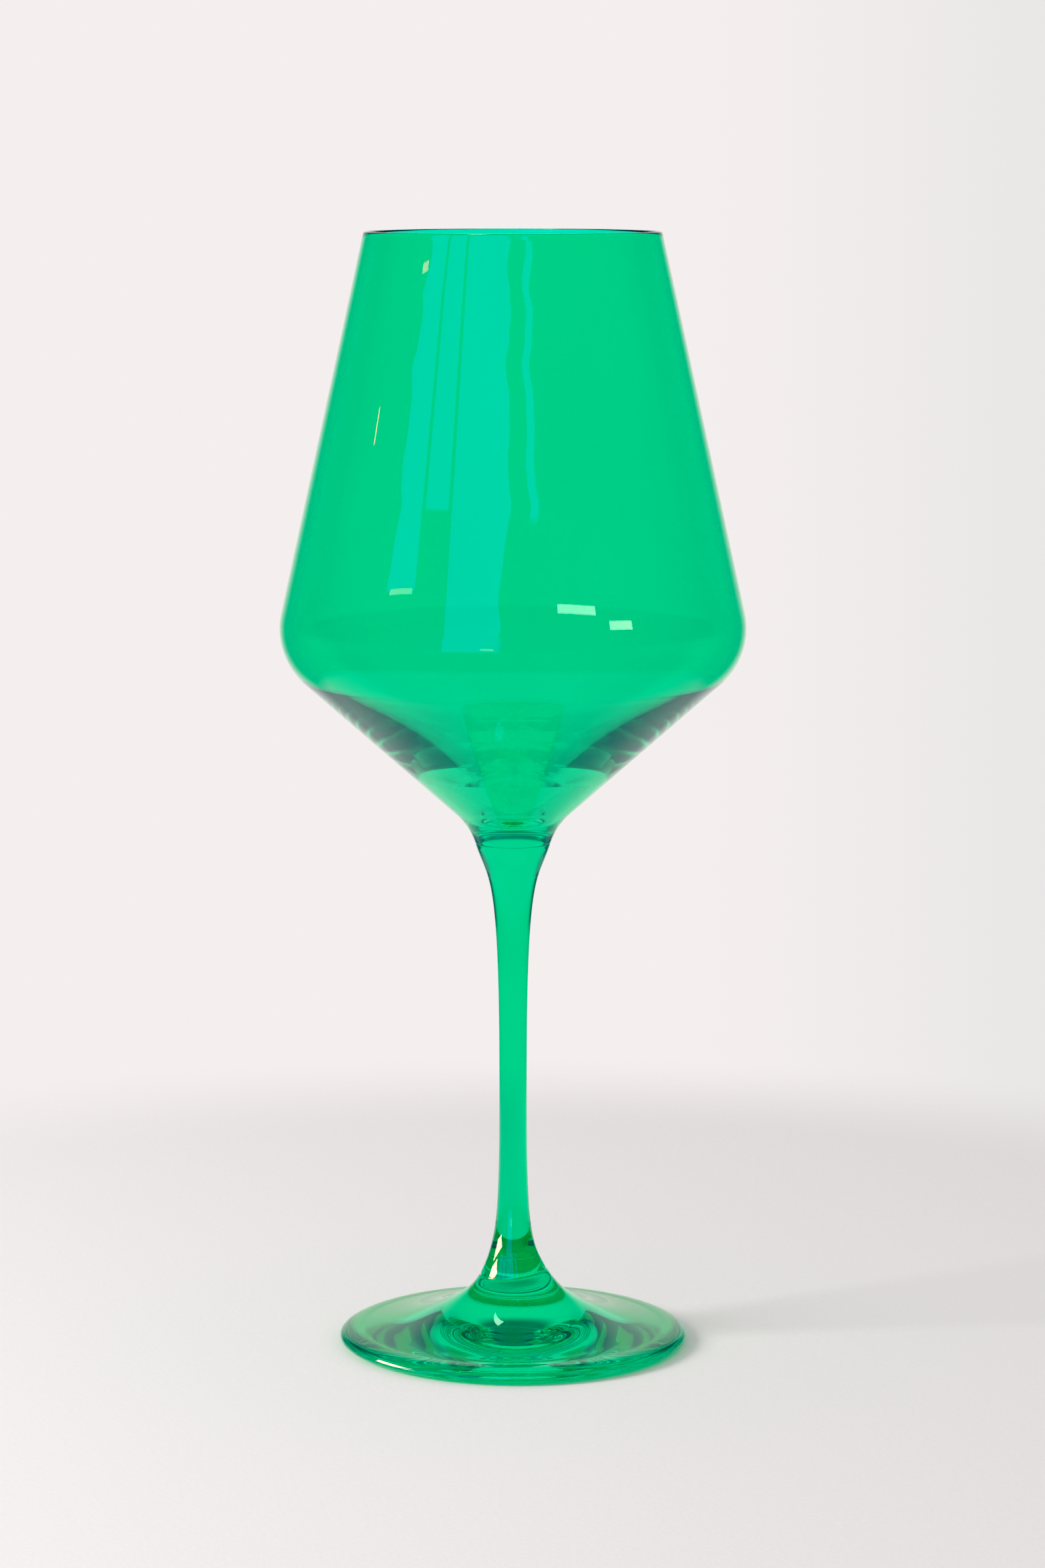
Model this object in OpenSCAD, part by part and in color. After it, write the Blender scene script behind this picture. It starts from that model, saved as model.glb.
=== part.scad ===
// Stemmed wine glass with a tall conical bowl, a low belly and a spun foot.
// It is made from three gathers of glass that are fused end to end:
// the bowl onto the stem, and the stem onto the foot.
// All sizes are in millimetres. +Z is up, and the origin is the centre of
// the plane that the foot rests on.

/* [Overall] */
// Height from the table to the rim
total_h = 233.8; // [228:0.2:244]

/* [Bowl] */
// Outer diameter at the rim
rim_d = 61.6; // [58:0.2:66]
// Outer diameter at the belly, the widest place
belly_d = 97; // [93:0.5:101]
// Height of the belly above the table
belly_z = 152; // [147:0.2:157]
// Radius of the belly's outer curve, seen in section
belly_round = 14.8; // [12:0.2:17]
// Radius of the hollow curve where the lower cone turns into the stem
collar_round = 13.7; // [12:0.1:15]
// Wall thickness at the rim, which is melted round
rim_wall = 1.3; // [1:0.1:1.8]
// Wall thickness at the belly
belly_wall = 1.7; // [1.4:0.1:2.2]
// Slope of the cavity's wall just under the belly, in degrees
cavity_slope = 39; // [37:0.5:41]
// Diameter of the shoulder inside the lower cone, where the wall is thickest
shoulder_d = 32; // [30:0.5:34]
// Height of that shoulder above the stem's joint
shoulder_up = 16; // [15.2:0.1:16.8]
// Solid glass between the stem's joint and the lowest point of the cavity
bowl_floor = 5.6; // [5:0.1:6.2]
// Radius of the cavity's rounded bottom
bowl_floor_round = 10.6; // [9.8:0.1:11.4]

/* [Stem] */
// Diameter of the joint between the bowl and the stem
bowl_joint_d = 15.8; // [14:0.2:18]
// Height of the joint between the bowl and the stem
bowl_joint_z = 106.8; // [105:0.2:109]
// Diameter at the waist, the slimmest place
waist_d = 5.8; // [5:0.1:7]
// Height of the waist
waist_z = 57; // [50:1:65]
// Lean of the stem's flank from upright where it meets the bowl, in degrees
top_flare = 17.5; // [15:0.5:20]
// Diameter of the joint between the stem and the foot
foot_joint_d = 14.2; // [13:0.1:15]
// Height of the joint between the stem and the foot
foot_joint_z = 14.8; // [14:0.2:16]
// Lean of the flank from upright at the foot's joint, in degrees
low_flare = 29; // [25:1:33]

/* [Foot] */
// Diameter of the foot
foot_d = 73.4; // [70:0.2:78]
// Thickness of the rounded edge
edge_t = 3.2; // [2.6:0.1:4]
// Fall of the foot's top where it meets the edge, in degrees below level
top_fall = 8; // [5:1:11]
// Diameter where the foot stops resting and its hollow underside begins
rest_inner_d = 52; // [46:1:58]
// Depth of the hollow underside at the centre
kick_h = 1.6; // [1:0.1:2.5]

/* [Hidden] */

$fn = 96;
glass_green = [0.0, 0.76, 0.5, 0.7];
belly_steps = 16;   // straight pieces along the belly's curve
curve_steps = 20;   // along each long curve of the stem
round_steps = 8;    // along each short curve

// Bowl, outside and inside
lip_r = rim_wall / 2;
lip_c = [rim_d / 2 - lip_r, total_h - lip_r];
belly_c = [belly_d / 2 - belly_round, belly_z];
cavity_round = belly_round - belly_wall;
cavity_z = bowl_joint_z + bowl_floor;
cavity_c = [0, cavity_z + bowl_floor_round];
shoulder = [shoulder_d / 2, bowl_joint_z + shoulder_up];
shelf_slope = 36;    // of the wall just above the shoulder
well_slope = 43;     // of the wall just below it
sump_slope = 41;     // of the wall just above the rounded bottom
bottom_slope = 48;   // of the rounded bottom at its edge
inner_cone_normal = cavity_slope - 90;
inner_cone_top = belly_c + cavity_round * [cos(inner_cone_normal), sin(inner_cone_normal)];
bottom_normal = bottom_slope - 90;
bottom_step = (-90 - bottom_normal) / round_steps;
bottom_top = cavity_c + bowl_floor_round * [cos(bottom_normal), sin(bottom_normal)];
well_pull = norm(shoulder - bottom_top) / 3;

// The collar is the hollow curve between the lower cone and the stem. It
// leaves the joint with the stem's own lean.
bowl_joint_r = bowl_joint_d / 2;
collar_c = [bowl_joint_r, bowl_joint_z] + collar_round * [cos(top_flare), -sin(top_flare)];

// Directions of the normals, in degrees, where straight walls touch the curves
cone_normal = touch(collar_c - belly_c, belly_round + collar_round, 1);
wall_normal = touch(lip_c - belly_c, belly_round - lip_r, -1);
inner_wall_normal = touch(lip_c - belly_c, cavity_round + lip_r, -1);

// Stem: how far each end's direction carries on into its long curve
waist_r = waist_d / 2;
top_pull = 9;
waist_pull_up = 45;
waist_pull_down = 30;
low_pull = 8;
foot_joint_r = foot_joint_d / 2;

// Foot: the edge is an ellipse quarter above its widest line and one below it
foot_r = foot_d / 2;
edge_mid_z = 0.43 * edge_t;
edge_top_in = 5;
edge_low_in = 3.4;
edge_top = [foot_r - edge_top_in, edge_t];
foot_pull_in = 8.6;
foot_pull_out = 9.5;
rest_inner_r = rest_inner_d / 2;
kick_pull = 0.4 * rest_inner_r;

// Direction of the normal of a straight line that touches two circles, from
// the step between their centres and the difference that their radii make
function touch(step, rise, side) =
    atan2(step.y, step.x) + side * acos(rise / norm(step));

// One step outwards and up a wall of this slope
function uphill(slope) = [cos(slope), sin(slope)];

// Points of an ellipse arc from angle a0 to a1, both ends included
function arc(c, rx, ry, a0, a1, n) =
    [for (i = [0:n]) let (a = a0 + (a1 - a0) * i / n) c + [rx * cos(a), ry * sin(a)]];

// Points of a cubic curve, without its first point, on which the outline
// already stands
function curve(p0, p1, p2, p3, n) =
    [for (i = [1:n]) let (t = i / n, u = 1 - t)
        u * u * u * p0 + 3 * u * u * t * p1 + 3 * u * t * t * p2 + t * t * t * p3];

// One gather of glass, from its half section
module turned(outline) {
    color(glass_green) rotate_extrude() polygon(outline);
}

module bowl() {
    turned(concat(
        [[0, bowl_joint_z]],
        arc(collar_c, collar_round, collar_round, 180 - top_flare, 180 + cone_normal, round_steps),
        arc(belly_c, belly_round, belly_round, cone_normal, wall_normal, belly_steps),
        arc(lip_c, lip_r, lip_r, wall_normal, 180 + inner_wall_normal, round_steps),
        arc(belly_c, cavity_round, cavity_round, inner_wall_normal, inner_cone_normal, belly_steps),
        curve(inner_cone_top, inner_cone_top - 9 * uphill(cavity_slope),
              shoulder + 10 * uphill(shelf_slope), shoulder, curve_steps),
        curve(shoulder, shoulder - well_pull * uphill(well_slope),
              bottom_top + well_pull * uphill(sump_slope), bottom_top, round_steps),
        arc(cavity_c, bowl_floor_round, bowl_floor_round, bottom_normal + bottom_step, -90,
            round_steps - 1)
    ));
}

module stem() {
    top = [bowl_joint_r, bowl_joint_z];
    waist = [waist_r, waist_z];
    base = [foot_joint_r, foot_joint_z];
    turned(concat(
        [[0, foot_joint_z], [0, bowl_joint_z], top],
        curve(top, top - top_pull * [sin(top_flare), cos(top_flare)],
              waist + [0, waist_pull_up], waist, curve_steps),
        curve(waist, waist - [0, waist_pull_down],
              base + low_pull * [-sin(low_flare), cos(low_flare)], base, curve_steps)
    ));
}

module foot() {
    base = [foot_joint_r, foot_joint_z];
    rest_in = [rest_inner_r, 0];
    kick_top = [0, kick_h];
    turned(concat(
        [[0, foot_joint_z], base],
        curve(base, base + foot_pull_in * [sin(low_flare), -cos(low_flare)],
              edge_top + foot_pull_out * [-cos(top_fall), sin(top_fall)], edge_top, curve_steps),
        arc([edge_top.x, edge_mid_z], edge_top_in, edge_t - edge_mid_z, 90 - 90 / round_steps, 0,
            round_steps - 1),
        arc([foot_r - edge_low_in, edge_mid_z], edge_low_in, edge_mid_z, -90 / round_steps, -90,
            round_steps - 1),
        [rest_in],
        curve(rest_in, rest_in - [kick_pull, 0], kick_top + [kick_pull, 0], kick_top, round_steps)
    ));
}

bowl();
stem();
foot();
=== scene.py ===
"""A stemmed wine glass in green glass, standing on a pale cloth in soft light.

Three pieces of glass are turned from the half sections below: bowl, stem and foot. Their sizes come
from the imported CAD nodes. Everything is in metres, with +Z up and the glass's axis on the Z axis.
"""
import math

import bpy
import mathutils
import numpy as np
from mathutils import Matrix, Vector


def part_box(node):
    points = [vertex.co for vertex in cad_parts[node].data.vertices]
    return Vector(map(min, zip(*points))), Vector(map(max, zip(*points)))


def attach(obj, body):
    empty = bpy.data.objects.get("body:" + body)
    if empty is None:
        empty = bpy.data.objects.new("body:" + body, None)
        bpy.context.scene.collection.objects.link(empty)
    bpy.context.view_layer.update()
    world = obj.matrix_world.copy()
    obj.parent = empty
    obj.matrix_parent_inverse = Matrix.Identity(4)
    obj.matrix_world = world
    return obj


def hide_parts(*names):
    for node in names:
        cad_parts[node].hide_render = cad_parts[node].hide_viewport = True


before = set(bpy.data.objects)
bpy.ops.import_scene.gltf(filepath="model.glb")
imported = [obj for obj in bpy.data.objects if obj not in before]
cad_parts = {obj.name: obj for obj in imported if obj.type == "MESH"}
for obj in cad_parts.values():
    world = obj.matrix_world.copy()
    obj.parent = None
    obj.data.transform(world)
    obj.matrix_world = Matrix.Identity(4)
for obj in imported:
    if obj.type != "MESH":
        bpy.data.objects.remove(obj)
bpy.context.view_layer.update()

MM = 0.001
scene = bpy.context.scene

# ---------------------------------------------------------------- sizes
# From the CAD nodes
bowl_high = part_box("bowl")[1]
stem_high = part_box("stem")[1]
foot_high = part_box("foot")[1]
RIM_Z = bowl_high.z
BELLY_R = bowl_high.x
BOWL_JOINT_Z = stem_high.z
BOWL_JOINT_R = stem_high.x
FOOT_JOINT_Z = foot_high.z
FOOT_R = foot_high.x

# The half section's other sizes, as in the CAD model
RIM_R = 30.8 * MM
RIM_WALL = 1.3 * MM
BELLY_Z = 152 * MM
BELLY_ROUND = 14.8 * MM
BELLY_WALL = 1.7 * MM
COLLAR_ROUND = 13.7 * MM
TOP_FLARE = math.radians(17.5)
CAVITY_FLOOR = 5.6 * MM
CAVITY_ROUND = 10.6 * MM
WELL_R = 16 * MM
WELL_Z = 122.8 * MM
WELL_SLOPE = math.radians(43)
SUMP_SLOPE = math.radians(41)
SHELF_SLOPE = math.radians(36)
UPPER_SLOPE = math.radians(39)
BOTTOM_SLOPE = math.radians(48)
WAIST_R = 2.9 * MM
WAIST_Z = 57 * MM
FOOT_JOINT_R = 7.1 * MM
LOW_FLARE = math.radians(29)
EDGE_T = 3.2 * MM
EDGE_MID_Z = 0.43 * EDGE_T
EDGE_TOP_IN = 5 * MM
EDGE_LOW_IN = 3.4 * MM
TOP_FALL = math.radians(8)
REST_INNER_R = 26 * MM
KICK_H = 1.6 * MM

# How far a direction carries on at each end of a long curve
UPPER_PULL = 9 * MM
SHELF_PULL = 10 * MM
TOP_PULL = 9 * MM
WAIST_PULL_UP = 45 * MM
WAIST_PULL_DOWN = 30 * MM
LOW_PULL = 8 * MM
FOOT_PULL_IN = 8.6 * MM
FOOT_PULL_OUT = 9.5 * MM

# The dimple in the middle of the foot's hollow underside
DIMPLE_R = 13 * MM
DIMPLE_EDGE_H = 0.9 * MM
HOLLOW_PULL = 4 * MM
DIMPLE_PULL_IN = 1.5 * MM
DIMPLE_PULL_UP = 0.3 * MM
DIMPLE_TOP_PULL = 5 * MM

# Soft grooves where two gathers meet, and how far the corner's rounding reaches
SEAM_DEPTH = 0.1 * MM
SEAM_REACH = 0.7 * MM
RING_DEPTH = 0.18 * MM
RING_REACH = 1.9 * MM

# Fineness of the meshes: facets around the glass, rows on the straight walls and on the curves
AROUND = 152
STRAIGHT_ROW = 0.9 * MM
LIP_ROWS = 8
GROOVE_ROWS = 10
COLLAR_ROWS = 40
BELLY_ROWS = 90
SHELF_ROWS = 120
WELL_ROWS = 30
BOTTOM_ROWS = 24
STEM_ROWS = 60
FOOT_ROWS = 50
EDGE_TOP_ROWS = 18
EDGE_LOW_ROWS = 14
HOLLOW_ROWS = 24
DIMPLE_ROWS = 30
SAME_POINT = 1e-6
ON_AXIS = 1e-7

# ---------------------------------------------------------------- half sections
# A half section is a list of stretches. A stretch is (surface, points), and surface is one of
# "outer", "inner" and "joint". Each stretch starts where the one before it ended.


def spread(p, q):
    """Points from p to q on a straight line, evenly spread, both ends included."""
    p, q = np.array(p, float), np.array(q, float)
    n = max(1, int(np.ceil(np.linalg.norm(q - p) / STRAIGHT_ROW)))
    return [tuple(p + (q - p) * i / n) for i in range(n + 1)]


def arc(centre, rx, ry, a0, a1, n):
    """Points of an ellipse arc from angle a0 to a1 in radians, both ends included."""
    return [(centre[0] + rx * math.cos(a), centre[1] + ry * math.sin(a))
            for a in (a0 + (a1 - a0) * i / n for i in range(n + 1))]


def curve(p0, p1, p2, p3, n):
    """Points of a cubic curve, both ends included."""
    p0, p1, p2, p3 = (np.array(p, float) for p in (p0, p1, p2, p3))
    out = []
    for i in range(n + 1):
        t = i / n
        u = 1 - t
        out.append(tuple(u ** 3 * p0 + 3 * u * u * t * p1 + 3 * u * t * t * p2 + t ** 3 * p3))
    return out


def touch(c_from, c_to, rise, side):
    """Angle of the normal of a line that touches two circles, as in the CAD model."""
    dx, dz = c_to[0] - c_from[0], c_to[1] - c_from[1]
    return math.atan2(dz, dx) + side * math.acos(rise / math.hypot(dx, dz))


def on(centre, r, a):
    """The point of a circle at angle a."""
    return (centre[0] + r * math.cos(a), centre[1] + r * math.sin(a))


def along(p, slope, far):
    """The point that lies far from p, down a slope towards the axis."""
    return (p[0] - far * math.cos(slope), p[1] - far * math.sin(slope))


def eased(points, depth, reach):
    """The same stretch with its first corner rounded off, so that a groove runs round the joint."""
    corner = points[0]
    kept = [p for p in points if math.dist(p, corner) > reach]
    start = (corner[0] - depth, corner[1])
    mid = (corner[0] - 0.25 * depth, corner[1])
    lift = tuple(corner[i] + 0.45 * (kept[0][i] - corner[i]) for i in (0, 1))
    return curve(start, mid, lift, kept[0], GROOVE_ROWS) + kept[1:]


def bowl_section():
    """From the joint's centre up the outside, over the lip and down the cavity."""
    lip_r = RIM_WALL / 2
    lip = (RIM_R - lip_r, RIM_Z - lip_r)
    belly = (BELLY_R - BELLY_ROUND, BELLY_Z)
    hollow = BELLY_ROUND - BELLY_WALL
    centre = (0.0, BOWL_JOINT_Z + CAVITY_FLOOR + CAVITY_ROUND)
    bottom_normal = BOTTOM_SLOPE - math.pi / 2
    bottom = on(centre, CAVITY_ROUND, bottom_normal)
    well = (WELL_R, WELL_Z)
    well_pull = math.dist(well, bottom) / 3
    collar = (BOWL_JOINT_R + COLLAR_ROUND * math.cos(TOP_FLARE),
              BOWL_JOINT_Z - COLLAR_ROUND * math.sin(TOP_FLARE))
    cone = touch(belly, collar, BELLY_ROUND + COLLAR_ROUND, 1)
    wall = touch(belly, lip, BELLY_ROUND - lip_r, -1)
    in_wall = touch(belly, lip, hollow + lip_r, -1)
    in_cone = UPPER_SLOPE - math.pi / 2
    start = on(belly, hollow, in_cone)
    collar_arc = arc(collar, COLLAR_ROUND, COLLAR_ROUND, math.pi - TOP_FLARE, math.pi + cone,
                     COLLAR_ROWS)
    collar_arc = eased(collar_arc, SEAM_DEPTH, SEAM_REACH)
    outer = (collar_arc
             + spread(collar_arc[-1], on(belly, BELLY_ROUND, cone))
             + arc(belly, BELLY_ROUND, BELLY_ROUND, cone, wall, BELLY_ROWS)
             + spread(on(belly, BELLY_ROUND, wall), on(lip, lip_r, wall))
             + arc(lip, lip_r, lip_r, wall, math.pi / 2, LIP_ROWS))
    inner = (arc(lip, lip_r, lip_r, math.pi / 2, math.pi + in_wall, LIP_ROWS)
             + spread(on(lip, lip_r, math.pi + in_wall), on(belly, hollow, in_wall))
             + arc(belly, hollow, hollow, in_wall, in_cone, BELLY_ROWS)
             + curve(start, along(start, UPPER_SLOPE, UPPER_PULL),
                     along(well, SHELF_SLOPE, -SHELF_PULL), well, SHELF_ROWS)
             + curve(well, along(well, WELL_SLOPE, well_pull),
                     along(bottom, SUMP_SLOPE, -well_pull), bottom, WELL_ROWS)
             + arc(centre, CAVITY_ROUND, CAVITY_ROUND, bottom_normal, -math.pi / 2, BOTTOM_ROWS))
    joint = spread((0.0, BOWL_JOINT_Z), collar_arc[0])
    return [("joint", joint), ("outer", outer), ("inner", inner)]


def stem_section():
    """From the foot's joint up the outside to the bowl's joint."""
    top = (BOWL_JOINT_R, BOWL_JOINT_Z)
    waist = (WAIST_R, WAIST_Z)
    base = (FOOT_JOINT_R, FOOT_JOINT_Z)
    top_lean = (top[0] - TOP_PULL * math.sin(TOP_FLARE), top[1] - TOP_PULL * math.cos(TOP_FLARE))
    base_lean = (base[0] - LOW_PULL * math.sin(LOW_FLARE), base[1] + LOW_PULL * math.cos(LOW_FLARE))
    upper = curve(top, top_lean, (WAIST_R, WAIST_Z + WAIST_PULL_UP), waist, STEM_ROWS)
    lower = curve(waist, (WAIST_R, WAIST_Z - WAIST_PULL_DOWN), base_lean, base, STEM_ROWS)
    outer = eased(upper, SEAM_DEPTH, SEAM_REACH) + lower
    outer = eased(outer[::-1], RING_DEPTH, RING_REACH)
    return [("joint", spread((0.0, FOOT_JOINT_Z), outer[0])),
            ("outer", outer),
            ("joint", spread(outer[-1], (0.0, BOWL_JOINT_Z)))]


def foot_section():
    """From the middle of the underside out, round the edge and up to the stem's joint."""
    base = (FOOT_JOINT_R, FOOT_JOINT_Z)
    base_lean = (base[0] + FOOT_PULL_IN * math.sin(LOW_FLARE),
                 base[1] - FOOT_PULL_IN * math.cos(LOW_FLARE))
    edge_top = (FOOT_R - EDGE_TOP_IN, EDGE_T)
    top = curve(base, base_lean, along(edge_top, -TOP_FALL, FOOT_PULL_OUT), edge_top, FOOT_ROWS)
    edge = (arc((edge_top[0], EDGE_MID_Z), EDGE_TOP_IN, EDGE_T - EDGE_MID_Z, math.pi / 2, 0,
                EDGE_TOP_ROWS)
            + arc((FOOT_R - EDGE_LOW_IN, EDGE_MID_Z), EDGE_LOW_IN, EDGE_MID_Z, 0, -math.pi / 2,
                  EDGE_LOW_ROWS))
    rest_in = (REST_INNER_R, 0.0)
    dimple = (DIMPLE_R, DIMPLE_EDGE_H)
    under = (spread(edge[-1], rest_in)
             + curve(rest_in, (REST_INNER_R - HOLLOW_PULL, 0.0),
                     (DIMPLE_R + HOLLOW_PULL, DIMPLE_EDGE_H), dimple, HOLLOW_ROWS)
             + curve(dimple, (DIMPLE_R - DIMPLE_PULL_IN, DIMPLE_EDGE_H + DIMPLE_PULL_UP),
                     (DIMPLE_TOP_PULL, KICK_H), (0.0, KICK_H), DIMPLE_ROWS))
    outer = (eased(top, RING_DEPTH, RING_REACH) + edge + under)[::-1]
    return [("outer", outer), ("joint", spread(outer[-1], (0.0, FOOT_JOINT_Z)))]


# ---------------------------------------------------------------- meshes
WALL_WAVE = 0.028 * MM   # slow waves round the blown bowl, the same outside and inside
SLOW_WAVES = ((5, 0.9, 1.0), (9, 2.2, 0.6))   # waves around, starting angle, strength
SKIN_WAVE = 0.004 * MM   # finer ones, which differ outside and inside
FINE_WAVES = ((11, 20, 1), (17, -30, 2))      # waves around, twist per metre up, times the phase
INNER_PHASE = 1.9
WAVES_START = 16 * MM    # the waves grow over this height below the belly
WAVES_END = 12 * MM      # and die away over this height below the rim
RING_TILT = 0.10         # the stem was set on the foot a little askew
RING_TILT_TO = 0.2       # towards this angle, in radians
RING_BAND = 4.5 * MM


def hand_made(kind, r, z, a):
    """Moves a point of the perfect turned shape to where a hand-made glass has it."""
    phase = INNER_PHASE if kind == "inner" else 0.0
    growing = min(1.0, max(0.0, (z - BELLY_Z + WAVES_START) / WAVES_START))
    dying = min(1.0, (RIM_Z - z) / WAVES_END)
    slow = sum(size * math.sin(count * a + start) for count, start, size in SLOW_WAVES)
    fine = sum(math.sin(count * a + twist * z + times * phase) for count, twist, times in FINE_WAVES)
    dr = growing * dying * (WALL_WAVE * slow + SKIN_WAVE * fine)
    near_ring = math.exp(-(((z - FOOT_JOINT_Z) / RING_BAND) ** 2))
    dz = RING_TILT * near_ring * r * math.cos(a - RING_TILT_TO)
    return (r + dr) * math.cos(a), (r + dr) * math.sin(a), z + dz


def turned(name, section, slots):
    """One closed piece of glass, from its half section. slots maps a surface to its material."""
    rings, kinds = [], []
    for kind, points in section:
        for p in points:
            if rings and math.dist(p, rings[-1]) < SAME_POINT:
                continue
            rings.append(p)
            kinds.append(kind)
    verts, index = [], []
    angles = [2 * math.pi * k / AROUND for k in range(AROUND)]
    for kind, (r, z) in zip(kinds, rings):
        if r < ON_AXIS:
            index.append([len(verts)] * AROUND)
            verts.append((0.0, 0.0, z))
        else:
            index.append(list(range(len(verts), len(verts) + AROUND)))
            verts.extend(hand_made(kind, r, z, a) for a in angles)
    materials = sorted(set(slots.values()), key=lambda m: m.name)
    faces, slot_of = [], []
    for i in range(1, len(rings)):
        low, high = index[i - 1], index[i]
        for k in range(AROUND):
            j = (k + 1) % AROUND
            corners = list(dict.fromkeys([low[k], low[j], high[j], high[k]]))
            if len(corners) < 3:
                continue
            faces.append(corners)
            slot_of.append(materials.index(slots[kinds[i]]))
    mesh = bpy.data.meshes.new(name)
    mesh.from_pydata(verts, [], faces)
    for m in materials:
        mesh.materials.append(m)
    mesh.polygons.foreach_set("material_index", slot_of)
    mesh.polygons.foreach_set("use_smooth", [True] * len(faces))
    mesh.update()
    piece = bpy.data.objects.new(name, mesh)
    scene.collection.objects.link(piece)
    return piece


# ---------------------------------------------------------------- nodes
def node(tree, kind, **values):
    """A new node with these properties."""
    n = tree.nodes.new(kind)
    for k, v in values.items():
        setattr(n, k, v)
    return n


def plug(tree, socket, value):
    """Puts a number, a colour or another node's output into a socket."""
    if isinstance(value, bpy.types.NodeSocket):
        tree.links.new(value, socket)
    else:
        socket.default_value = value


def calc(tree, operation, *values):
    """The result of one sum with numbers or other nodes' outputs."""
    n = node(tree, "ShaderNodeMath", operation=operation)
    for socket, v in zip(n.inputs, values):
        plug(tree, socket, v)
    return n.outputs[0]


def product(tree, first, *others):
    """All the values, multiplied."""
    for other in others:
        first = calc(tree, "MULTIPLY", first, other)
    return first


def ease(tree, value, low, high):
    """Goes smoothly from 0 at low to 1 at high; low may be the greater one."""
    n = node(tree, "ShaderNodeMapRange", interpolation_type="SMOOTHSTEP")
    plug(tree, n.inputs["Value"], value)
    flip = low > high
    n.inputs["From Min"].default_value = high if flip else low
    n.inputs["From Max"].default_value = low if flip else high
    n.inputs["To Min"].default_value = 1.0 if flip else 0.0
    n.inputs["To Max"].default_value = 0.0 if flip else 1.0
    return n.outputs["Result"]


def band(tree, value, low, high, soft):
    """1 between low and high, 0 outside, with soft edges."""
    return product(tree, ease(tree, value, low - soft, low), ease(tree, value, high + soft, high))


def blend(tree, factor, a, b):
    """Colour a where factor is 0, and b where it is 1."""
    n = node(tree, "ShaderNodeMix", data_type="RGBA")
    plug(tree, n.inputs["Factor"], factor)
    plug(tree, n.inputs["A"], a)
    plug(tree, n.inputs["B"], b)
    return n.outputs["Result"]


def noise(tree, place, scale, detail):
    """Soft random values, most of them between 0.3 and 0.7."""
    n = node(tree, "ShaderNodeTexNoise")
    n.inputs["Scale"].default_value = scale
    n.inputs["Detail"].default_value = detail
    tree.links.new(place, n.inputs["Vector"])
    return n.outputs["Fac"]


# ---------------------------------------------------------------- materials
GREEN = (0.0, 0.77, 0.297)
COLOURLESS = (1.0, 1.0, 1.0)
SHEEN = (0.12, 0.8, 1.0)
GLASS_IOR = 1.5
TINT_VARIES = 0.012           # how far the tint strays from its mean, either way
CORD_SCALE = 45               # the faint cords of deeper and paler glass
CORD_DETAIL = 2
CORD_STRETCH = (1.0, 1.0, 0.35)   # draws them out along the axis
CORD_RANGE = (0.3, 0.7)
SCUFF_SCALE = 700
SCUFF_DETAIL = 4
SCUFF_RANGE = (0.35, 0.65)
WORN_H = 0.25 * MM            # the ring that the glass rests on is scuffed up to this height
WORN_FULL_H = 0.075 * MM      # and most strongly below this one
WORN_ROUGH = 0.05


def new_material(name):
    """An empty node material: itself, its tree and its output node."""
    m = bpy.data.materials.new(name)
    m.use_nodes = True
    tree = m.node_tree
    tree.nodes.clear()
    out = node(tree, "ShaderNodeOutputMaterial")
    return m, tree, out


def glass_material(name, colour):
    """Clear glass that is tinted where light crosses it, with the marks of its making and use."""
    m, tree, out = new_material(name)
    coords = node(tree, "ShaderNodeTexCoord").outputs["Object"]
    drawn_out = node(tree, "ShaderNodeMapping")
    drawn_out.inputs["Scale"].default_value = CORD_STRETCH
    tree.links.new(coords, drawn_out.inputs["Vector"])
    cords = noise(tree, drawn_out.outputs[0], CORD_SCALE, CORD_DETAIL)
    scuffs = noise(tree, coords, SCUFF_SCALE, SCUFF_DETAIL)
    place = node(tree, "ShaderNodeSeparateXYZ")
    tree.links.new(coords, place.inputs[0])
    worn = product(tree, ease(tree, place.outputs["Z"], WORN_H, WORN_FULL_H),
                   ease(tree, scuffs, *SCUFF_RANGE), WORN_ROUGH)
    paler = tuple(min(1.0, c * (1 + TINT_VARIES)) for c in colour)
    deeper = tuple(c * (1 - TINT_VARIES) for c in colour)
    glass = node(tree, "ShaderNodeBsdfPrincipled")
    plug(tree, glass.inputs["Base Color"],
         blend(tree, ease(tree, cords, *CORD_RANGE), (*deeper, 1), (*paler, 1)))
    plug(tree, glass.inputs["Roughness"], worn)
    glass.inputs["IOR"].default_value = GLASS_IOR
    glass.inputs["Transmission Weight"].default_value = 1.0
    glass.inputs["Specular Tint"].default_value = (*SHEEN, 1)
    tree.links.new(glass.outputs[0], out.inputs["Surface"])
    return m


def fused_material():
    """Inside the glass, where two gathers are fused: nothing bends or stops the light there."""
    m, tree, out = new_material("fused_joint")
    clear = node(tree, "ShaderNodeBsdfTransparent")
    tree.links.new(clear.outputs[0], out.inputs["Surface"])
    return m


coat = glass_material("green_glass", GREEN)
inside = glass_material("green_glass_inside", COLOURLESS)
fused = fused_material()
slots = {"outer": coat, "inner": inside, "joint": fused}

bowl = turned("glass_bowl", bowl_section(), slots)
stem = turned("glass_stem", stem_section(), slots)
foot = turned("glass_foot", foot_section(), slots)
for piece, cad_node in ((bowl, "bowl"), (stem, "stem"), (foot, "foot")):
    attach(piece, "root")
    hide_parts(cad_node)

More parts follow.
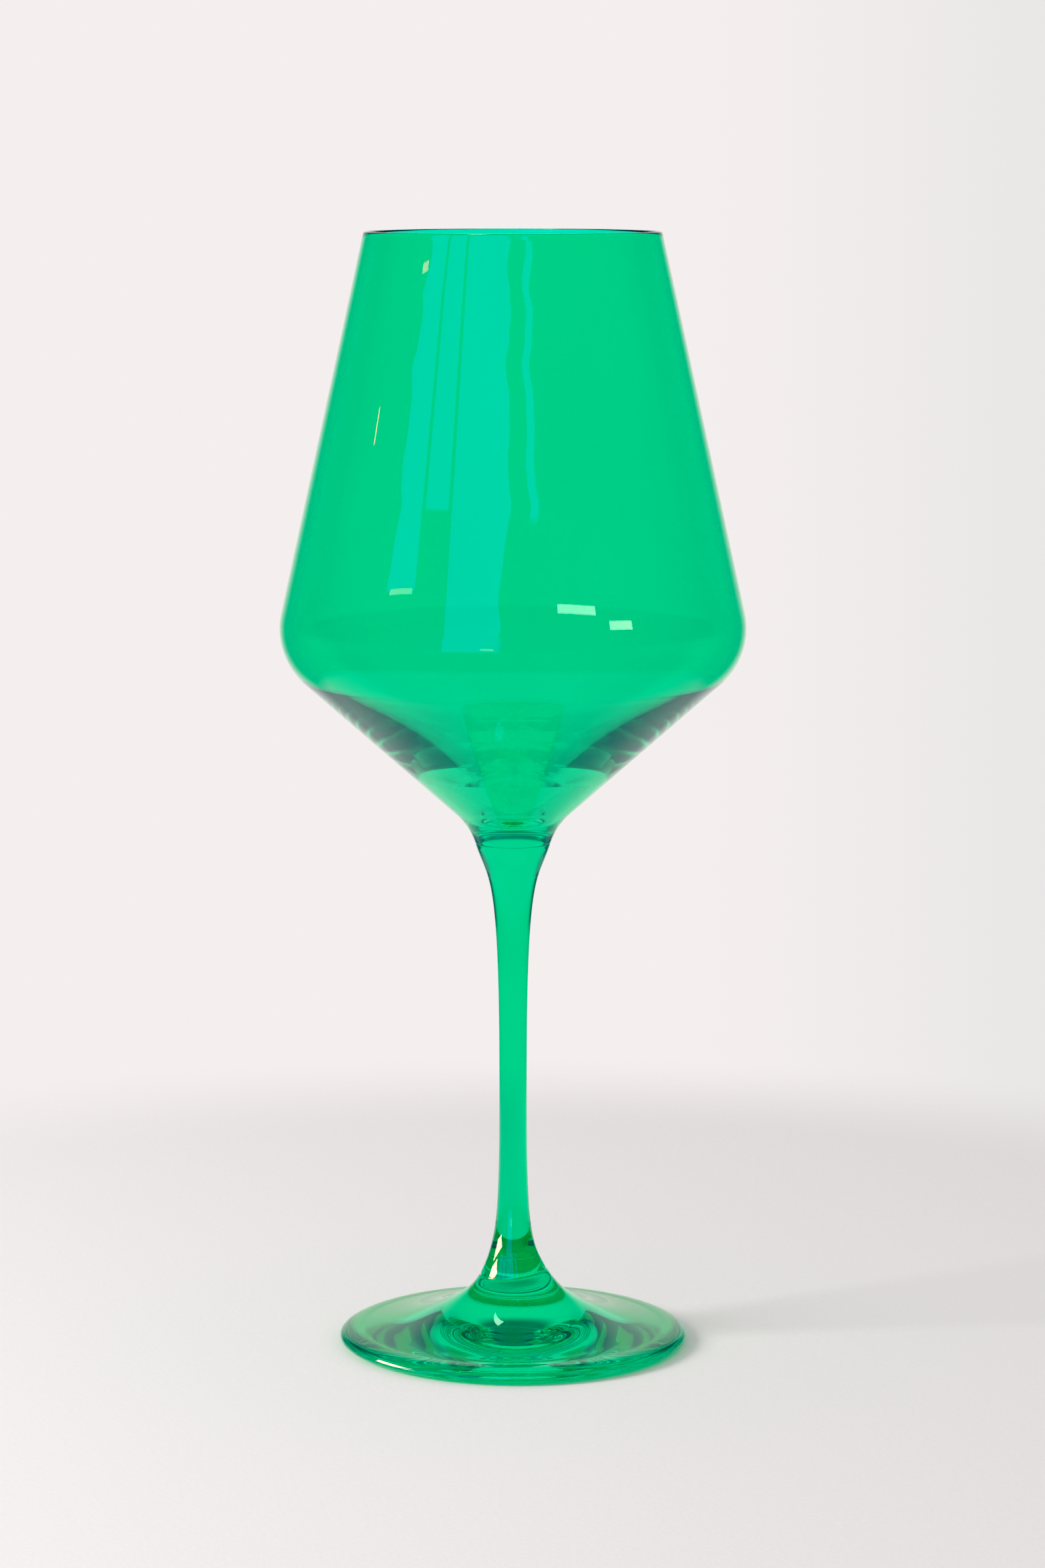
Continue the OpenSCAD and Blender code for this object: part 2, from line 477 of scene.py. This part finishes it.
# ---------------------------------------------------------------- floor
FLOOR_RINGS = (0.1, 0.2, 0.34)
FLOOR_SIDES = 96
FLOOR_DROP = 0.2 * MM     # keeps the cloth clear of the foot
FADE_OUT = (0.205, 0.30)  # the cloth fades into the backdrop between these radii
CLOTH = (0.86, 0.833, 0.826)
CLOTH_SHADE = 0.985       # of the weave's darker threads
GRAIN_SCALE = 900
GRAIN_DETAIL = 3
GRAIN_RANGE = (0.3, 0.7)
GRAIN_STRENGTH = 0.15
GRAIN_HEIGHT = 0.3 * MM


def cloth_material():
    """Fine pale cloth that fades into the backdrop far from the glass."""
    m, tree, out = new_material("pale_cloth")
    cloth = node(tree, "ShaderNodeBsdfPrincipled")
    cloth.inputs["Roughness"].default_value = 0.95
    cloth.inputs["Specular IOR Level"].default_value = 0.0
    coords = node(tree, "ShaderNodeTexCoord").outputs["Object"]
    grain = noise(tree, coords, GRAIN_SCALE, GRAIN_DETAIL)
    darker = tuple(CLOTH_SHADE * c for c in CLOTH)
    plug(tree, cloth.inputs["Base Color"],
         blend(tree, ease(tree, grain, *GRAIN_RANGE), (*darker, 1), (*CLOTH, 1)))
    bump = node(tree, "ShaderNodeBump")
    bump.inputs["Strength"].default_value = GRAIN_STRENGTH
    bump.inputs["Distance"].default_value = GRAIN_HEIGHT
    tree.links.new(grain, bump.inputs["Height"])
    tree.links.new(bump.outputs[0], cloth.inputs["Normal"])
    away = node(tree, "ShaderNodeVectorMath", operation="LENGTH")
    tree.links.new(coords, away.inputs[0])
    clear = node(tree, "ShaderNodeBsdfTransparent")
    mix = node(tree, "ShaderNodeMixShader")
    plug(tree, mix.inputs[0], ease(tree, away.outputs["Value"], *FADE_OUT))
    tree.links.new(cloth.outputs[0], mix.inputs[1])
    tree.links.new(clear.outputs[0], mix.inputs[2])
    tree.links.new(mix.outputs[0], out.inputs["Surface"])
    return m


def make_floor():
    """A round flat cloth."""
    verts = [(0, 0, 0)]
    angles = [2 * math.pi * k / FLOOR_SIDES for k in range(FLOOR_SIDES)]
    for r in FLOOR_RINGS:
        verts += [(r * math.cos(a), r * math.sin(a), 0) for a in angles]
    faces = []
    for k in range(FLOOR_SIDES):
        j = (k + 1) % FLOOR_SIDES
        faces.append((0, 1 + k, 1 + j))
        for i in range(1, len(FLOOR_RINGS)):
            low, high = 1 + FLOOR_SIDES * (i - 1), 1 + FLOOR_SIDES * i
            faces.append((low + k, high + k, high + j, low + j))
    mesh = bpy.data.meshes.new("floor")
    mesh.from_pydata(verts, [], faces)
    mesh.materials.append(cloth_material())
    floor = bpy.data.objects.new("floor", mesh)
    floor.location.z = -FLOOR_DROP
    scene.collection.objects.link(floor)


make_floor()

# ---------------------------------------------------------------- studio
# The world is a soft pale backdrop behind the glass and a dim room on the camera's side. Only
# reflections and refractions see the room; the camera sees the backdrop, with painted shade on its
# right.
BACKDROP = (0.90, 0.863, 0.855, 1)
# Painted shade: the backdrop's colour towards its right, darker as if the light from the left fell
# off there
BACKDROP_PAINTED_SHADE = (0.80, 0.785, 0.79, 1)
CEILING = (0.16, 0.24, 0.24, 1)
DIM_ROOM = (0.02, 0.07, 0.11, 1)
WINDOW = (1.6, 1.6, 3.9, 1)
COOL_LAMP = (46.0, 12.0, 8.0, 1)
DIM_LAMP = (45.0, 4.8, 3.0, 1)
GLIMMER = (14.0, 13.0, 8.0, 1)
SILL = (22.0, 6.5, 4.0, 1)
SKYLIGHT = (0.63, 0.616, 0.628, 1)
GATHERED = (1.1, 1.08, 1.08, 1)
LEVEL_BEND = 0.00095  # degrees of level per squared degree of azimuth, on the bowl's leaning wall

# Where one part of the room turns into the next, in degrees
PAPER_TOP = (24, 40)       # elevation, from the backdrop to the ceiling
PAPER_SIDE = (146, 170)    # azimuth, from the dim room to the backdrop, as the glass mirrors them
SEEN_SIDE = (112, 140)     # the same, as they are seen through the glass
CLOTH_TOP = (0, -5)        # elevation, from the dim room down to the cloth
SHADED_RIGHT = (0.03, 0.14)    # of the direction's x, from the backdrop to its shaded right side

# Small lamps in the reflected room: azimuth and level, width and height, colour, softness
LAMPS = [
    ((32.8, 19.19), (20, 0.09), COOL_LAMP, 0.03),
    ((56, 19.0), (12.5, 0.09), COOL_LAMP, 0.03),
    ((-68.5, 23.88), (5, 0.1), DIM_LAMP, 0.04),
    ((-91.4, 21.8), (0.8, 0.4), DIM_LAMP, 0.08),
    ((-152, 90), (30, 5), GLIMMER, 0.8),
    ((-59.3, 19.4), (13, 0.05), SILL, 0.03),
    ((-12.8, -0.7), (6, 3.0), SILL, 0.5),
]

# A curtained window of three panes and a narrow one beside it. A pair says where an edge's light
# begins and where it is full, in degrees of azimuth, or of level for a pane's top and foot.
WINDOW_TOP = (50, 46)
LEFT_PANE_LEFT = (-67, -66.5)
LEFT_PANE_RIGHT = (-51.4, -51.8)
LEFT_PANE_FOOT = (19.38, 19.46)
MIDDLE_PANE = (-49.4, -36.4, 0.3)   # from, to, softness
MIDDLE_PANE_FOOT = (20.44, 20.5)
RIGHT_PANE_LEFT = (-34.4, -34)
RIGHT_PANE_RIGHT = (-2.8, -3.2)
RIGHT_PANE_FOOT = (-6, -3)
NARROW_PANE = (8, 12, 1.0)          # from, to, softness
NARROW_PANE_FOOT = (20.25, 20.45)
FOLD_SCALE = 1.1      # the curtain's folds, down its length
FOLD_DETAIL = 1.5
FOLD_REACH = 9.0      # degrees of azimuth
SWAY_LEVELS = (21, 19)    # the right edge sways between these levels, by this much
SWAY_REACH = 4.0

world = bpy.data.worlds.new("studio")
scene.world = world
world.use_nodes = True
wt = world.node_tree
wt.nodes.clear()


def window_light(azimuth, level):
    """How brightly the windows shine in a direction, from 0 to 1."""
    folds = node(wt, "ShaderNodeTexNoise", noise_dimensions="1D")
    folds.inputs["Scale"].default_value = FOLD_SCALE
    folds.inputs["Detail"].default_value = FOLD_DETAIL
    plug(wt, folds.inputs["W"], level)
    fold = product(wt, calc(wt, "SUBTRACT", folds.outputs["Fac"], 0.5), FOLD_REACH)
    draped = calc(wt, "ADD", azimuth, fold)
    swaying = calc(wt, "ADD", draped, product(wt, ease(wt, level, *SWAY_LEVELS), SWAY_REACH))
    panes = [
        product(wt, ease(wt, draped, *LEFT_PANE_LEFT), ease(wt, azimuth, *LEFT_PANE_RIGHT),
                ease(wt, level, *LEFT_PANE_FOOT)),
        product(wt, band(wt, azimuth, *MIDDLE_PANE), ease(wt, level, *MIDDLE_PANE_FOOT)),
        product(wt, ease(wt, azimuth, *RIGHT_PANE_LEFT), ease(wt, swaying, *RIGHT_PANE_RIGHT),
                ease(wt, level, *RIGHT_PANE_FOOT)),
        product(wt, band(wt, draped, *NARROW_PANE), ease(wt, level, *NARROW_PANE_FOOT)),
    ]
    lit = panes[0]
    for pane in panes[1:]:
        lit = calc(wt, "ADD", lit, pane)
    return product(wt, lit, ease(wt, level, *WINDOW_TOP))


def directions():
    """The azimuth from the camera's side and the elevation of a ray, both in degrees, and its x."""
    coords = node(wt, "ShaderNodeTexCoord")
    parts = node(wt, "ShaderNodeSeparateXYZ")
    wt.links.new(coords.outputs["Generated"], parts.inputs[0])
    x, y, z = parts.outputs
    elevation = calc(wt, "DEGREES", calc(wt, "ARCSINE", z))
    azimuth = calc(wt, "DEGREES", calc(wt, "ARCTAN2", x, product(wt, y, -1.0)))
    return azimuth, elevation, x


def with_lamp(room, azimuth, level, where, size, colour, soft):
    """The reflected room with one more small lamp in it."""
    left, low = (where[i] - size[i] / 2 for i in (0, 1))
    right, high = (where[i] + size[i] / 2 for i in (0, 1))
    lit = product(wt, band(wt, azimuth, left, right, soft), band(wt, level, low, high, soft))
    return blend(wt, lit, room, colour)


azimuth, elevation, toward_right = directions()
side = calc(wt, "ABSOLUTE", azimuth)
above = ease(wt, elevation, *PAPER_TOP)
# The room's dim part is above the table's height; below it the cloth goes on all round
pale = calc(wt, "MAXIMUM", ease(wt, side, *SEEN_SIDE), ease(wt, elevation, *CLOTH_TOP))
through = blend(wt, above, blend(wt, pale, DIM_ROOM, BACKDROP), CEILING)
mirrored = blend(wt, above, blend(wt, ease(wt, side, *PAPER_SIDE), DIM_ROOM, BACKDROP), CEILING)
# On the bowl's leaning wall a level edge is seen lower towards the sides, which this takes out
level = calc(wt, "ADD", elevation, product(wt, azimuth, azimuth, LEVEL_BEND))
mirrored = blend(wt, window_light(azimuth, level), mirrored, WINDOW)
for where, size, colour, soft in LAMPS:
    mirrored = with_lamp(mirrored, azimuth, level, where, size, colour, soft)
rays = node(wt, "ShaderNodeLightPath").outputs
# The backdrop that the camera sees gets painted shade towards the right, in place of the left
# light's falloff
painted_shade_backdrop = blend(wt, ease(wt, toward_right, *SHADED_RIGHT), BACKDROP, BACKDROP_PAINTED_SHADE)
seen = blend(wt, rays["Is Camera Ray"], SKYLIGHT, painted_shade_backdrop)
# A ray that glass bends counts as glossy too, so the bent ones are told apart last
seen = blend(wt, rays["Is Glossy Ray"], seen, mirrored)
seen = blend(wt, rays["Is Transmission Ray"], seen, through)
# The cloth under the glass is lit by the whole room, and more strongly where that comes through it
from_cloth = blend(wt, rays["Is Transmission Ray"], SKYLIGHT, GATHERED)
seen = blend(wt, ease(wt, rays["Diffuse Depth"], 0.2, 0.8), seen, from_cloth)
background = node(wt, "ShaderNodeBackground")
world_out = node(wt, "ShaderNodeOutputWorld")
plug(wt, background.inputs["Color"], seen)
wt.links.new(background.outputs[0], world_out.inputs["Surface"])

LEFT_LIGHT = 8.8      # watts
LEFT_LIGHT_PLACE = (-0.9, -0.3, 0.5)
LEFT_LIGHT_SIZE = (0.4, 0.4)
LEFT_LIGHT_AIM = (0, 0, 0.05)
# Two lamps that hang low over the table, left of the glass: x and z of the near end, x and z of the
# far end, y of the front and back edges. They make the pale strokes on the stem's lower flare.
UPPER_STROKE = ((-0.349, 0.09), (-0.65, 0.04), (-0.2, 0.06))
LOWER_STROKE = ((-0.152, 0.1), (-0.312, 0.1), (-0.06, 0.04))
STROKE_LIGHT = 360    # watts per square metre
STROKE_COLOUR = (1.0, 0.18, 0.135)


def area_light(name, place, turn, size, power):
    """A rectangular light that the camera doesn't see, neither directly nor through the glass."""
    data = bpy.data.lights.new(name, "AREA")
    data.shape = "RECTANGLE"
    data.size = size[0]
    data.size_y = size[1]
    data.energy = power
    light = bpy.data.objects.new(name, data)
    light.location = place
    light.rotation_euler = turn
    light.visible_camera = False
    light.visible_transmission = False
    scene.collection.objects.link(light)
    return light


def soft_light(name, place, aim, size, power):
    """A large light that faces the aim and lights the cloth; the glass doesn't mirror it."""
    facing = mathutils.Vector(aim) - mathutils.Vector(place)
    light = area_light(name, place, facing.to_track_quat("-Z", "Y").to_euler(), size, power)
    light.visible_glossy = False


def hung_lamp(name, near, far, edges):
    """A shaded lamp that shines downwards; from the front only the stem and the foot mirror it."""
    place = ((near[0] + far[0]) / 2, sum(edges) / 2, (near[1] + far[1]) / 2)
    turn = (0, math.atan2(far[1] - near[1], near[0] - far[0]), 0)
    size = (math.dist(near, far), edges[1] - edges[0])
    light = area_light(name, place, turn, size, STROKE_LIGHT * size[0] * size[1])
    light.data.color = STROKE_COLOUR
    light.visible_diffuse = False


soft_light("left_light", LEFT_LIGHT_PLACE, LEFT_LIGHT_AIM, LEFT_LIGHT_SIZE, LEFT_LIGHT)
hung_lamp("stroke_upper", *UPPER_STROKE)
hung_lamp("stroke_lower", *LOWER_STROKE)

# ---------------------------------------------------------------- camera
PITCH = math.radians(8.13)
CAMERA_PLACE = (0.002, -0.9158, 0.25)
LENS_MM = 101.6939
SENSOR_MM = 36

cam_data = bpy.data.cameras.new("camera")
cam_data.sensor_fit = "VERTICAL"
cam_data.sensor_height = SENSOR_MM
cam_data.lens = LENS_MM
camera = bpy.data.objects.new("camera", cam_data)
camera.location = CAMERA_PLACE
camera.rotation_euler = (math.pi / 2 - PITCH, 0, 0)
scene.collection.objects.link(camera)
scene.camera = camera

# The deep green is outside what a screen can show, so the faintest reds in it are lost
RED_CURVE = ((0.035, 0.0), (0.12, 0.09), (0.3, 0.295))
scene.view_settings.view_transform = "Standard"
scene.view_settings.use_curve_mapping = True
red = scene.view_settings.curve_mapping.curves[0]
for dim, shown in RED_CURVE:
    red.points.new(dim, shown)
scene.view_settings.curve_mapping.update()

BOUNCES = 64
scene.cycles.max_bounces = BOUNCES
scene.cycles.transmission_bounces = BOUNCES
scene.cycles.glossy_bounces = BOUNCES
scene.cycles.transparent_max_bounces = BOUNCES
